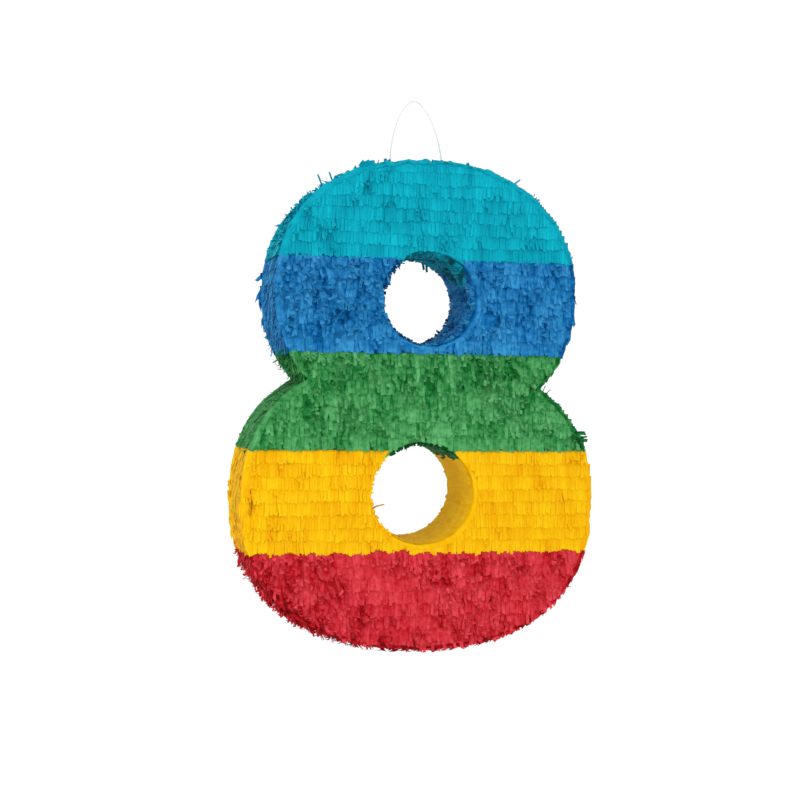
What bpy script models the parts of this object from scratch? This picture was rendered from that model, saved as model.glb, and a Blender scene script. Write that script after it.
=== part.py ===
"""Number-eight pinata: a hollow cardboard box with two round holes, wrapped in bands of fringed tissue.

Frame: +Z up, the front face towards -Y, +X to the right seen from the front. The origin lies under the
middle of the box, at the height of its lowest point. All sizes are in metres.

From the inside out: two board panels and a bent board wall make the box, a card tube lines each hole, and
tissue covers every outside face. A cord passes through the crown, is knotted inside, and makes the hanging
loop. A flap in the back panel closes the filling opening.
"""

import math
from dataclasses import dataclass

import bmesh
import bpy

# Overall sizes of the box with its covering, and thicknesses of the sheet materials
DEPTH = 0.112
COVERING = 0.0047
BOARD = 0.003
TUBE_CARD = 0.002
LINING = 0.001
LINING_LIP = 0.0018
CLEARANCE = 0.0003

# Places of the sheets through the depth, as distances from the middle plane
COVER_OUT = DEPTH / 2
COVER_IN = COVER_OUT - COVERING
PANEL_OUT = COVER_IN - CLEARANCE
PANEL_IN = PANEL_OUT - BOARD
WALL_END = PANEL_IN - CLEARANCE
SIDE_COVER_END = COVER_IN - CLEARANCE

# Insets of the sheets from the outer outline
PANEL_INSET = COVERING + CLEARANCE
WALL_INNER_INSET = PANEL_INSET + BOARD


@dataclass
class Oval:
    """A rounded outline: an ellipse at squareness 2, fuller at its corners above that."""

    centre_x: float
    centre_z: float
    half_width: float
    half_height: float
    squareness: float


UPPER_LOBE = Oval(0.0, 0.398, 0.172, 0.148, 2.2)
LOWER_LOBE = Oval(0.0, 0.1635, 0.201, 0.1635, 2.3)
UPPER_HOLE = Oval(0.0025, 0.392, 0.0533, 0.0521, 2.0)
LOWER_HOLE = Oval(0.0025, 0.1737, 0.0589, 0.0563, 2.0)
LOBE_SEGMENTS = 64
HOLE_SEGMENTS = 40
LIP_WIDTH = 0.007

# Colour bands: their shared edges from the bottom up, at the middle of the face, and their slope
BANDS = ("red", "yellow", "green", "blue", "turquoise")
BAND_EDGES = (0.1072, 0.2215, 0.3295, 0.4357)
BAND_SLOPE = math.radians(1.5)

# Filling flap in the back panel, hinged along its top edge
FLAP_WIDTH = 0.090
FLAP_HINGE_Z = 0.524
FLAP_HEIGHT = 0.058
FLAP_GAP = 0.0005
FLAP_COVER_DROP = 0.004
FLAP_COVER_MARGIN = 0.008

# Cord: the loop above the crown turns about a line through its two exit points
CORD_RADIUS = 0.0011
CORD_HOLE_RADIUS = 0.0017
CORD_LEFT_X = -0.0369
CORD_RIGHT_X = 0.0246
CORD_AXIS_Z = 0.5475
LOOP_HEIGHT = 0.0740
LOOP_LEAN = -0.005
LOOP_SQUARENESS = 1.75
LOOP_POINTS = 29
PIVOT_BEAD_RADIUS = 0.0013
KNOT_RADIUS = 0.0035
TIE_DROP = 0.009
TIE_CORNER = 0.003

# Reinforcing card inside the crown, under the cord's holes
HANGER_CARD = 0.002
HANGER_LEFT_X = -0.076
HANGER_RIGHT_X = 0.064
HANGER_DEPTH = 0.070

# Cutters this long pass right through the box, and this far out they lie beyond it on every side
THROUGH = 0.4
BEYOND = 1.0

COLOURS = {
    "turquoise": (0.010, 0.345, 0.455),
    "blue": (0.018, 0.155, 0.400),
    "green": (0.055, 0.235, 0.066),
    "yellow": (0.895, 0.505, 0.010),
    "red": (0.560, 0.028, 0.041),
    "board": (0.430, 0.290, 0.165),
    "cord": (0.880, 0.880, 0.860),
}
TISSUE_ROUGHNESS = 0.75
BOARD_ROUGHNESS = 0.85
CORD_ROUGHNESS = 0.40


# ---------------------------------------------------------------- scene, collections, materials

def clear_scene():
    for old in list(bpy.data.objects):
        bpy.data.objects.remove(old, do_unlink=True)


def new_collection(name):
    collection = bpy.data.collections.new(name)
    bpy.context.scene.collection.children.link(collection)
    return collection


def principled(name, colour, roughness):
    material = bpy.data.materials.new(name)
    material.use_nodes = True
    shader = material.node_tree.nodes["Principled BSDF"]
    shader.inputs["Base Color"].default_value = (*colour, 1.0)
    shader.inputs["Roughness"].default_value = roughness
    shader.inputs["Metallic"].default_value = 0.0
    return material


def dress(part, colour_name):
    """Give a part its own material and a name for its mesh."""
    roughness = {"board": BOARD_ROUGHNESS, "cord": CORD_ROUGHNESS}.get(colour_name, TISSUE_ROUGHNESS)
    part.data.materials.clear()
    part.data.materials.append(principled(part.name, COLOURS[colour_name], roughness))
    part.data.name = part.name
    return part


# ---------------------------------------------------------------- outlines

def oval_points(oval, inset, segments):
    """Points round an oval, anticlockwise from +X, moved inwards along the outline's normal."""
    points = []
    power = oval.squareness
    for step in range(segments):
        angle = 2 * math.pi * step / segments
        cosine, sine = math.cos(angle), math.sin(angle)
        across = math.copysign(abs(cosine) ** (2 / power), cosine)
        up = math.copysign(abs(sine) ** (2 / power), sine)
        normal_x = math.copysign(abs(across) ** (power - 1), across) / oval.half_width
        normal_z = math.copysign(abs(up) ** (power - 1), up) / oval.half_height
        length = math.hypot(normal_x, normal_z)
        x = oval.centre_x + oval.half_width * across - inset * normal_x / length
        z = oval.centre_z + oval.half_height * up - inset * normal_z / length
        points.append((x, z))
    return points


def half_width_at(oval, z):
    rise = min(1.0, abs(z - oval.centre_z) / oval.half_height)
    return oval.half_width * (1 - rise ** oval.squareness) ** (1 / oval.squareness)


def waist_height():
    """Height at which the two lobes are equally wide, found by halving."""
    low, high = LOWER_LOBE.centre_z, UPPER_LOBE.centre_z
    for _ in range(40):
        middle = (low + high) / 2
        if half_width_at(LOWER_LOBE, middle) > half_width_at(UPPER_LOBE, middle):
            low = middle
        else:
            high = middle
    return middle


# ---------------------------------------------------------------- solids

def mesh_from_curve(curve_object, name, collection):
    """Turn a curve into a mesh object with welded caps, and remove the curve."""
    bpy.context.view_layer.update()
    evaluated = curve_object.evaluated_get(bpy.context.evaluated_depsgraph_get())
    mesh = bpy.data.meshes.new_from_object(evaluated)
    mesh.name = name
    solid = bpy.data.objects.new(name, mesh)
    solid.matrix_world = curve_object.matrix_world.copy()
    weld = bmesh.new()
    weld.from_mesh(mesh)
    bmesh.ops.remove_doubles(weld, verts=weld.verts, dist=0.00001)
    bmesh.ops.recalc_face_normals(weld, faces=weld.faces)
    weld.to_mesh(mesh)
    weld.free()
    bpy.data.objects.remove(curve_object, do_unlink=True)
    collection.objects.link(solid)
    return solid


def flat_solid(name, outlines, y_low, y_high, collection):
    """A plate in the XZ plane between two depths; a second outline inside the first is a hole."""
    curve = bpy.data.curves.new(name + "_outline", "CURVE")
    curve.dimensions = "2D"
    curve.fill_mode = "BOTH"
    curve.extrude = (y_high - y_low) / 2
    for outline in outlines:
        spline = curve.splines.new("POLY")
        spline.points.add(len(outline) - 1)
        for point, (x, z) in zip(spline.points, outline):
            point.co = (x, z, 0.0, 1.0)
        spline.use_cyclic_u = True
    plate = bpy.data.objects.new(name + "_curve", curve)
    bpy.context.scene.collection.objects.link(plate)
    plate.rotation_euler = (math.pi / 2, 0.0, 0.0)
    plate.location = (0.0, (y_low + y_high) / 2, 0.0)
    return mesh_from_curve(plate, name, collection)


def block(name, low, high, collection, turn_about_y=0.0):
    """A box between two corners, turned about the Y axis through its centre."""
    mesh = bpy.data.meshes.new(name)
    cube = bmesh.new()
    bmesh.ops.create_cube(cube, size=1.0)
    bmesh.ops.scale(cube, vec=[b - a for a, b in zip(low, high)], verts=cube.verts)
    cube.to_mesh(mesh)
    cube.free()
    box = bpy.data.objects.new(name, mesh)
    box.location = [(a + b) / 2 for a, b in zip(low, high)]
    box.rotation_euler = (0.0, turn_about_y, 0.0)
    collection.objects.link(box)
    return box


def combine(part, cutter, operation):
    """Add a Boolean of a cutter to a part: DIFFERENCE, INTERSECT or UNION."""
    boolean = part.modifiers.new(cutter.name, "BOOLEAN")
    boolean.operation = operation
    boolean.solver = "EXACT"
    boolean.object = cutter
    return part


def settle(part):
    """Replace a part's mesh by the result of its modifiers."""
    bpy.context.view_layer.update()
    evaluated = part.evaluated_get(bpy.context.evaluated_depsgraph_get())
    mesh = bpy.data.meshes.new_from_object(evaluated)
    part.modifiers.clear()
    part.data = mesh
    return part


def eight(name, inset, y_low, y_high, collection):
    """The whole figure as one solid: the two lobes joined."""
    figure = flat_solid(name, [oval_points(UPPER_LOBE, inset, LOBE_SEGMENTS)], y_low, y_high, collection)
    lower_points = oval_points(LOWER_LOBE, inset, LOBE_SEGMENTS)
    lower = flat_solid(name + "_lower_lobe", [lower_points], y_low, y_high, collection)
    settle(combine(figure, lower, "UNION"))
    bpy.data.objects.remove(lower, do_unlink=True)
    return figure


def turned_ring(name, profile, hole, collection):
    """A ring round a hole's axis: a closed profile of (distance from the opening, depth) pairs, screwed."""
    mesh = bpy.data.meshes.new(name)
    outline = bmesh.new()
    corners = [outline.verts.new((hole.half_width + reach, 0.0, depth)) for reach, depth in profile]
    for index, corner in enumerate(corners):
        outline.edges.new((corner, corners[(index + 1) % len(corners)]))
    outline.to_mesh(mesh)
    outline.free()
    ring = bpy.data.objects.new(name, mesh)
    ring.rotation_euler = (math.pi / 2, 0.0, 0.0)
    ring.location = (hole.centre_x, 0.0, hole.centre_z)
    ring.scale = (1.0, hole.half_height / hole.half_width, 1.0)
    collection.objects.link(ring)
    screw = ring.modifiers.new("turn", "SCREW")
    screw.axis = "Z"
    screw.angle = 2 * math.pi
    screw.steps = HOLE_SEGMENTS
    screw.render_steps = HOLE_SEGMENTS
    screw.use_merge_vertices = True
    screw.merge_threshold = 0.00001
    screw.use_normal_calculate = True
    return ring


# ---------------------------------------------------------------- cutters

def make_cutters(collection):
    """Every solid that only trims other solids, by name."""
    cutters = {}
    cutters["inside_of_cover"] = eight("inside_of_cover", COVERING, -THROUGH, THROUGH, collection)
    cutters["inside_of_wall"] = eight("inside_of_wall", WALL_INNER_INSET, -THROUGH, THROUGH, collection)
    cutters["inside_of_hanger_card"] = eight(
        "inside_of_hanger_card", WALL_INNER_INSET + CLEARANCE + HANGER_CARD, -THROUGH, THROUGH, collection)

    waist = waist_height()
    half_gap = CLEARANCE / 2
    cutters["above_waist"] = block(
        "above_waist", (-THROUGH, -THROUGH, waist + half_gap), (THROUGH, THROUGH, BEYOND), collection)
    cutters["below_waist"] = block(
        "below_waist", (-THROUGH, -THROUGH, -0.1), (THROUGH, THROUGH, waist - half_gap), collection)
    cutters["left_half"] = block(
        "left_half", (-BEYOND, -BEYOND, -BEYOND), (0.0, BEYOND, BEYOND), collection)
    cutters["right_half"] = block(
        "right_half", (0.0, -BEYOND, -BEYOND), (BEYOND, BEYOND, BEYOND), collection)
    cutters["hanger_span"] = block(
        "hanger_span", (HANGER_LEFT_X, -HANGER_DEPTH / 2, UPPER_LOBE.centre_z),
        (HANGER_RIGHT_X, HANGER_DEPTH / 2, BEYOND), collection)

    edges = (-0.1, *BAND_EDGES, 0.8)
    for band, low, high in zip(BANDS, edges, edges[1:]):
        cutters[band] = block(
            "band_" + band, (-THROUGH, -THROUGH, low + half_gap), (THROUGH, THROUGH, high - half_gap),
            collection, turn_about_y=-BAND_SLOPE)

    for label, hole in (("upper", UPPER_HOLE), ("lower", LOWER_HOLE)):
        board_edge = oval_points(hole, -(LINING + CLEARANCE), HOLE_SEGMENTS)
        cutters[label + "_board_hole"] = flat_solid(
            label + "_board_hole", [board_edge], -THROUGH, THROUGH, collection)
        lip_edge = oval_points(hole, -(LIP_WIDTH + CLEARANCE), HOLE_SEGMENTS)
        cutters[label + "_cover_hole"] = flat_solid(
            label + "_cover_hole", [lip_edge], -THROUGH, THROUGH, collection)

    half_opening = FLAP_WIDTH / 2 + FLAP_GAP
    opening_bottom = FLAP_HINGE_Z - FLAP_HEIGHT - FLAP_GAP
    cutters["fill_opening"] = block(
        "fill_opening", (-half_opening, 0.0, opening_bottom),
        (half_opening, THROUGH, FLAP_HINGE_Z + FLAP_GAP), collection)
    cutters["flap_cover_window"] = block(
        "flap_cover_window", (-half_opening, 0.0, opening_bottom),
        (half_opening, THROUGH, FLAP_HINGE_Z + FLAP_COVER_MARGIN), collection)

    for label, x in (("left", CORD_LEFT_X), ("right", CORD_RIGHT_X)):
        cutters[label + "_cord_hole"] = cord_hole(label + "_cord_hole", x, collection)
    for cutter in cutters.values():
        cutter.hide_render = True
        cutter.display_type = "WIRE"
    return cutters


def cord_hole(name, x, collection):
    """A round drill through the crown."""
    bpy.ops.mesh.primitive_cylinder_add(
        vertices=16, radius=CORD_HOLE_RADIUS, depth=0.1,
        location=(x, 0.0, UPPER_LOBE.centre_z + UPPER_LOBE.half_height))
    drill = bpy.context.object
    drill.name = name
    for owner in list(drill.users_collection):
        owner.objects.unlink(drill)
    collection.objects.link(drill)
    return drill


# ---------------------------------------------------------------- the board box

def make_panels(parts, cutters):
    """Front and back faces of the box, each with the two holes; the back one has the filling opening."""
    front = eight("front_panel", PANEL_INSET, -PANEL_OUT, -PANEL_IN, parts)
    back = eight("back_panel", PANEL_INSET, PANEL_IN, PANEL_OUT, parts)
    for panel in (front, back):
        combine(panel, cutters["upper_board_hole"], "DIFFERENCE")
        combine(panel, cutters["lower_board_hole"], "DIFFERENCE")
        dress(panel, "board")
    combine(back, cutters["fill_opening"], "DIFFERENCE")


def make_side_walls(parts, cutters):
    """The bent board walls round each lobe, butted together at the waist."""
    for name, side in (("side_wall_upper", "above_waist"), ("side_wall_lower", "below_waist")):
        wall = eight(name, PANEL_INSET, -WALL_END, WALL_END, parts)
        combine(wall, cutters["inside_of_wall"], "DIFFERENCE")
        combine(wall, cutters[side], "INTERSECT")
        if side == "above_waist":
            drill_cord_holes(wall, cutters)
        dress(wall, "board")


def drill_cord_holes(part, cutters):
    combine(part, cutters["left_cord_hole"], "DIFFERENCE")
    combine(part, cutters["right_cord_hole"], "DIFFERENCE")


def make_hole_walls(parts):
    """A card tube round each hole, standing between the two panels."""
    for name, hole in (("upper_hole_wall", UPPER_HOLE), ("lower_hole_wall", LOWER_HOLE)):
        inner = oval_points(hole, -(LINING + CLEARANCE), HOLE_SEGMENTS)
        outer = oval_points(hole, -(LINING + CLEARANCE + TUBE_CARD), HOLE_SEGMENTS)
        tube = flat_solid(name, [outer, inner], -WALL_END, WALL_END, parts)
        dress(tube, "board")


def make_hanger_card(parts, cutters):
    """A strip of card that follows the crown inside, and spreads the cord's pull."""
    card = eight("hanger_card", WALL_INNER_INSET + CLEARANCE, -HANGER_DEPTH / 2, HANGER_DEPTH / 2, parts)
    combine(card, cutters["inside_of_hanger_card"], "DIFFERENCE")
    combine(card, cutters["hanger_span"], "INTERSECT")
    drill_cord_holes(card, cutters)
    dress(card, "board")


# ---------------------------------------------------------------- the tissue covering

def make_face_covers(parts, cutters):
    """One slab of layered tissue for each band, on the front and on the back."""
    for face, near, far in (("front", -COVER_OUT, -COVER_IN), ("back", COVER_IN, COVER_OUT)):
        for band in BANDS:
            cover = eight(face + "_fringe_" + band, 0.0, near, far, parts)
            combine(cover, cutters[band], "INTERSECT")
            combine(cover, cutters["upper_cover_hole"], "DIFFERENCE")
            combine(cover, cutters["lower_cover_hole"], "DIFFERENCE")
            if face == "back" and band == "turquoise":
                combine(cover, cutters["flap_cover_window"], "DIFFERENCE")
            dress(cover, band)


def make_side_covers(parts, cutters):
    """Layered tissue round the edge of the box: one arc at the crown and foot, two pieces in between."""
    for band in BANDS:
        whole = band in ("turquoise", "red")
        for side in ("",) if whole else ("_left", "_right"):
            cover = eight("side_fringe_" + band + side, 0.0, -SIDE_COVER_END, SIDE_COVER_END, parts)
            combine(cover, cutters["inside_of_cover"], "DIFFERENCE")
            combine(cover, cutters[band], "INTERSECT")
            if not whole:
                combine(cover, cutters[side.strip("_") + "_half"], "INTERSECT")
            if band == "turquoise":
                drill_cord_holes(cover, cutters)
            dress(cover, band)


def make_hole_linings(parts, cutters):
    """Tissue through each hole, folded over onto both faces, in the two colours it crosses."""
    lip_foot = COVER_IN
    lip_top = COVER_IN + LINING_LIP
    profile = [
        (0.0, lip_top), (LIP_WIDTH, lip_top), (LIP_WIDTH, lip_foot), (LINING, lip_foot),
        (LINING, -lip_foot), (LIP_WIDTH, -lip_foot), (LIP_WIDTH, -lip_top), (0.0, -lip_top),
    ]
    for label, hole, bands in (("upper", UPPER_HOLE, ("blue", "turquoise")),
                               ("lower", LOWER_HOLE, ("yellow", "green"))):
        for band in bands:
            lining = turned_ring(label + "_hole_lining_" + band, profile, hole, parts)
            combine(lining, cutters[band], "INTERSECT")
            dress(lining, band)


# ---------------------------------------------------------------- the filling flap

def make_flap(parts):
    """The board flap and its own patch of fringe, both turning about the flap's top edge."""
    hinge = bpy.data.objects.new("fill_flap_hinge", None)
    hinge.location = (0.0, PANEL_OUT, FLAP_HINGE_Z)
    parts.objects.link(hinge)
    half = FLAP_WIDTH / 2
    flap = block(
        "fill_flap", (-half, PANEL_IN, FLAP_HINGE_Z - FLAP_HEIGHT), (half, PANEL_OUT, FLAP_HINGE_Z), parts)
    fringe = block(
        "flap_fringe", (-half, COVER_IN, FLAP_HINGE_Z - FLAP_HEIGHT),
        (half, COVER_OUT, FLAP_HINGE_Z - FLAP_COVER_DROP), parts)
    for piece, colour in ((flap, "board"), (fringe, "turquoise")):
        dress(piece, colour)
        piece.parent = hinge
        piece.location = [a - b for a, b in zip(piece.location, hinge.location)]


# ---------------------------------------------------------------- the cord

def cord(name, points, collection):
    """Round cord along a line of points, as a mesh."""
    curve = bpy.data.curves.new(name + "_line", "CURVE")
    curve.dimensions = "3D"
    curve.bevel_depth = CORD_RADIUS
    curve.bevel_resolution = 2
    curve.use_fill_caps = True
    spline = curve.splines.new("POLY")
    spline.points.add(len(points) - 1)
    for point, place in zip(spline.points, points):
        point.co = (*place, 1.0)
    line = bpy.data.objects.new(name + "_curve", curve)
    bpy.context.scene.collection.objects.link(line)
    return mesh_from_curve(line, name, collection)


def ball(name, radius, place, collection):
    mesh = bpy.data.meshes.new(name)
    sphere = bmesh.new()
    bmesh.ops.create_uvsphere(sphere, u_segments=14, v_segments=9, radius=radius)
    sphere.to_mesh(mesh)
    sphere.free()
    solid = bpy.data.objects.new(name, mesh)
    solid.location = place
    collection.objects.link(solid)
    return solid


def join_balls(part, places, radius, collection):
    """Join a ball to a part at each place, and keep the result as its mesh."""
    balls = [ball(f"{part.name}_ball_{index}", radius, place, collection)
             for index, place in enumerate(places)]
    for solid in balls:
        combine(part, solid, "UNION")
    settle(part)
    for solid in balls:
        bpy.data.objects.remove(solid, do_unlink=True)


def loop_points(centre_x):
    """The arch of the loop, from its left foot over the peak to its right foot, about its own pivot line."""
    half_span = (CORD_RIGHT_X - CORD_LEFT_X) / 2
    points = []
    for step in range(LOOP_POINTS):
        angle = math.pi * (1 - step / (LOOP_POINTS - 1))
        cosine, sine = math.cos(angle), math.sin(angle)
        height = max(0.0, sine) ** (2 / LOOP_SQUARENESS)
        across = math.copysign(abs(cosine) ** (2 / LOOP_SQUARENESS), cosine)
        x = centre_x + half_span * across + LOOP_LEAN * height
        points.append((x, 0.0, LOOP_HEIGHT * height))
    return points


def make_hanging_loop(parts):
    """The loop above the crown, with a bead at each foot that its pivot line passes through."""
    centre_x = (CORD_LEFT_X + CORD_RIGHT_X) / 2
    pivot = bpy.data.objects.new("loop_pivot", None)
    pivot.location = (centre_x, 0.0, CORD_AXIS_Z)
    parts.objects.link(pivot)
    loop = cord("hanging_loop", loop_points(0.0), parts)
    half_span = (CORD_RIGHT_X - CORD_LEFT_X) / 2
    join_balls(loop, [(-half_span, 0.0, 0.0), (half_span, 0.0, 0.0)], PIVOT_BEAD_RADIUS, parts)
    loop.parent = pivot
    dress(loop, "cord")


def make_loop_tie(parts):
    """The cord's run inside the crown: down through both holes, and knotted under the hanger card."""
    top = CORD_AXIS_Z - PIVOT_BEAD_RADIUS - CLEARANCE
    card_underside = UPPER_LOBE.centre_z + UPPER_LOBE.half_height - WALL_INNER_INSET - HANGER_CARD
    run = card_underside - TIE_DROP
    points = [
        (CORD_LEFT_X, 0.0, top),
        (CORD_LEFT_X, 0.0, run + TIE_CORNER),
        (CORD_LEFT_X + TIE_CORNER, 0.0, run),
        (CORD_RIGHT_X - TIE_CORNER, 0.0, run),
        (CORD_RIGHT_X, 0.0, run + TIE_CORNER),
        (CORD_RIGHT_X, 0.0, top),
    ]
    tie = cord("loop_tie", points, parts)
    middle = (CORD_LEFT_X + CORD_RIGHT_X) / 2
    join_balls(tie, [(middle, 0.0, run)], KNOT_RADIUS, parts)
    dress(tie, "cord")


# ---------------------------------------------------------------- build

def smooth_round_pieces(parts):
    for part in parts.objects:
        if part.type == "MESH":
            part.data.shade_smooth()
            part.data.set_sharp_from_angle(angle=math.radians(35))


def build():
    clear_scene()
    parts = new_collection("number_eight_pinata")
    cutter_collection = new_collection("cutters")
    cutters = make_cutters(cutter_collection)
    make_panels(parts, cutters)
    make_side_walls(parts, cutters)
    make_hole_walls(parts)
    make_hanger_card(parts, cutters)
    make_face_covers(parts, cutters)
    make_side_covers(parts, cutters)
    make_hole_linings(parts, cutters)
    make_flap(parts)
    make_hanging_loop(parts)
    make_loop_tie(parts)
    smooth_round_pieces(parts)


build()
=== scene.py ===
"""Looks of the number-eight pinata: cut tissue fringe, lined holes, bare board inside and a twisted cord.

Every covering is made of the same thing as the real one: strips of tissue pasted in rows, each strip left
whole along its top and slit into tabs below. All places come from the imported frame, in metres.
"""

from dataclasses import dataclass, fields, replace
from math import cos, pi, radians, sin, sqrt, tan

import bpy
import numpy as np
from mathutils import Matrix, Vector


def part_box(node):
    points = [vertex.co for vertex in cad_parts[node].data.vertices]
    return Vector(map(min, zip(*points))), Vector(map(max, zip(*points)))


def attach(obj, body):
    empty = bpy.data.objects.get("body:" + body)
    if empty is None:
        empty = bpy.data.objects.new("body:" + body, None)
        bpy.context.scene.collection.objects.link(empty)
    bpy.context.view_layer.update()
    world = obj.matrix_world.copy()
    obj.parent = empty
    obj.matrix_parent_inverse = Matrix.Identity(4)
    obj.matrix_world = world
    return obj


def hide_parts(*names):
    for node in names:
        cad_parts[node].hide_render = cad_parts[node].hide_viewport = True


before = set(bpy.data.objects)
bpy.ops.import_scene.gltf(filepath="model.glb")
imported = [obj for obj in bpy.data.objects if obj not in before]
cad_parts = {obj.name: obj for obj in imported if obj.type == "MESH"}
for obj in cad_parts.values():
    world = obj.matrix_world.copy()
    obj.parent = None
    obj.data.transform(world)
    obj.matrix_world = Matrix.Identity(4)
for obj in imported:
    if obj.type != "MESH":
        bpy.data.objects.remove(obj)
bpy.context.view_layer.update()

SEED = 8

# Colour bands from the bottom up, and the slope of the rows
BANDS = ("red", "yellow", "green", "blue", "turquoise")
ROW_SLOPE = tan(radians(1.5))

# Tissue strips: spacing of the rows, and the whole top and slit part of each strip
ROW_PITCH = 0.0145
HEADER = 0.0105
FREE_LENGTH = 0.0170
TAB_WIDTH = 0.0028
LAYERING = 0.0009
BASE_LIFT = 0.0004
PLY_LIFT = 0.0004
STAND = 0.0095
FREE_STATIONS = 6

# Each tab is deeper in tone at its root than at its tip, as painted shade where its root lies under the row
# above. It has its own tone this far along its free length
PALER_TIP = 0.32
MID_TONE = 0.6

# How far the rows on a face stop short of its outline, at the left, where the corner is folded over, and
# how far they stand past it at the right
FACE_TRIM = 0.0014
FACE_PROUD = 0.0012

# The pasted tissue under the rows: its height off the board and its tone, kept deep as painted shade where it
# shows between the tabs
SKIN_LIFT = 0.0004
SKIN_TONE = 0.15

# Room left for the flap to turn: between its fringe and its hinge, and under the tabs above the hinge
BELOW_HINGE = 0.0030
ABOVE_HINGE = 0.0035


@dataclass
class Finish:
    """The tissue of one band: how ruffled it is, how unevenly its last row is cut, how mottled its dye is,
    and its linear colours, deep and pale, the pale one partly the dye's lighter tone and partly painted
    sheen."""

    ruffle: float
    ruffle_spread: float
    uneven_cut: float
    mottle: float
    deep: tuple
    pale: tuple


FINISH = {
    "turquoise": Finish(0.19, 0.22, 0.0004, 0.25, (0.000, 0.265, 0.370), (0.003, 0.460, 0.575)),
    "blue": Finish(0.62, 0.24, 0.0004, 0.95, (0.001, 0.118, 0.350), (0.038, 0.295, 0.590)),
    "green": Finish(0.55, 0.24, 0.0003, 0.85, (0.010, 0.180, 0.034), (0.115, 0.430, 0.150)),
    "yellow": Finish(0.12, 0.16, 0.0018, 0.20, (0.805, 0.375, 0.000), (0.885, 0.580, 0.005)),
    "red": Finish(0.50, 0.26, 0.0006, 0.75, (0.500, 0.007, 0.014), (0.750, 0.064, 0.086)),
}


# ---- vectors

def vectors(x, y, z):
    """Points or directions from arrays or single numbers."""
    return np.stack(np.broadcast_arrays(x, y, z), axis=-1)


def unit(directions):
    return directions / np.linalg.norm(directions, axis=-1, keepdims=True)


def turned(first, second, angle):
    """Each first direction turned by its angle towards the second."""
    return first * np.cos(angle)[:, None] + second * np.sin(angle)[:, None]


def limited(value):
    """The value kept from 0 to 1."""
    return np.clip(value, 0, 1)


def signed_power(value, power):
    return np.sign(value) * np.abs(value) ** power


# ---- the frame's outline

@dataclass
class Oval:
    """A rounded outline, as in the frame: an ellipse at squareness 2, fuller above that."""

    x: float
    z: float
    a: float
    b: float
    n: float

    def reach(self, x, inset=0.0):
        """Half height at x, or zero outside."""
        share = limited(np.abs(x - self.x) / (self.a - inset))
        return (self.b - inset) * (1.0 - share ** self.n) ** (1.0 / self.n)

    def radius_share(self, x, z):
        """0 at the centre, 1 on the outline."""
        across = np.abs((x - self.x) / self.a) ** self.n
        upward = np.abs((z - self.z) / self.b) ** self.n
        return (across + upward) ** (1 / self.n)

    def point(self, angle, inset=0.0):
        """The point and outward normal at an angle from +X, moved in along the normal."""
        u = signed_power(np.cos(angle), 2 / self.n)
        v = signed_power(np.sin(angle), 2 / self.n)
        nx = signed_power(u, self.n - 1) / self.a
        nz = signed_power(v, self.n - 1) / self.b
        size = np.hypot(nx, nz)
        nx, nz = nx / size, nz / size
        return self.x + self.a * u - inset * nx, self.z + self.b * v - inset * nz, nx, nz


def box_of(*names):
    """The low and high corner of one or more frame nodes."""
    boxes = np.array([[list(corner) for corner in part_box(name)] for name in names])
    return boxes[:, 0].min(axis=0), boxes[:, 1].max(axis=0)


UPPER_HALF_HEIGHT = 0.148
LOWER_HALF_HEIGHT = 0.1635
crown = box_of("front_fringe_turquoise")[1][2]
foot = box_of("front_fringe_red")[0][2]
upper_half_width = box_of("front_fringe_blue")[1][0]
lower_half_width = box_of("front_fringe_yellow")[1][0]
UPPER = Oval(0.0, crown - UPPER_HALF_HEIGHT, upper_half_width, UPPER_HALF_HEIGHT, 2.2)
LOWER = Oval(0.0, foot + LOWER_HALF_HEIGHT, lower_half_width, LOWER_HALF_HEIGHT, 2.3)
WAIST_Z = box_of("side_wall_upper")[0][2]


def hole_of(*linings):
    """The opening inside a pair of hole linings, without their lips."""
    low, high = box_of(*linings)
    lip = 0.007
    half = (high - low) / 2 - lip
    middle = (high + low) / 2
    return Oval(middle[0], middle[2], half[0], half[2], 2.0)


UPPER_HOLE = hole_of("upper_hole_lining_turquoise", "upper_hole_lining_blue")
LOWER_HOLE = hole_of("lower_hole_lining_green", "lower_hole_lining_yellow")
PANEL_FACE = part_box("back_panel")[1][1]
FLAP_LOW, FLAP_HIGH = box_of("fill_flap")
FLAP_TOP = FLAP_HIGH[2]


def band_edges():
    """Heights, at the middle of the face, of the edges of the bands, from the foot to above the crown."""
    edges = [-1.0]
    for band in BANDS[1:]:
        low, high = box_of("front_fringe_" + band)
        edges.append(low[2] + ROW_SLOPE * (high[0] - low[0]) / 2)
    return edges + [2.0]


BAND_EDGES = band_edges()


def edge_height(index, x):
    """Height of a band's lower edge at x. The red paper is drawn up a little under the lower hole."""
    drawn_up = 0.0032 * np.exp(-((x + 0.030) / 0.024) ** 2) if index == 1 else 0.0
    return BAND_EDGES[index] + ROW_SLOPE * x + drawn_up


def ring_width(hole, angle):
    """Width of the lining that shows round a hole: wide where the fringe was trimmed back, at the right and
    for the lower hole also below."""
    widest = -35 if hole is LOWER_HOLE else 0
    facing = np.cos(angle - radians(widest))
    return 0.0014 + 0.0058 * limited(1.5 * facing - 0.35)


def ringed_reach(hole, x, side):
    """Half height, at x, of a hole with its bare ring, above (1) or below (-1) its middle."""
    share = np.clip((x - hole.x) / hole.a, -1.0, 1.0)
    ring = ring_width(hole, side * np.arccos(share))
    share = limited(np.abs(x - hole.x) / (hole.a + ring))
    return (hole.b + ring) * np.sqrt(1.0 - share ** 2)


def inside(x, z):
    """True on the fringed face of the figure, outside both holes and their bare rings."""
    face = (UPPER.radius_share(x, z) < 1) | (LOWER.radius_share(x, z) < 1)
    for hole in (UPPER_HOLE, LOWER_HOLE):
        side = np.where(z > hole.z, 1.0, -1.0)
        face &= np.abs(z - hole.z) >= ringed_reach(hole, x, side)
    return face


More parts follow.
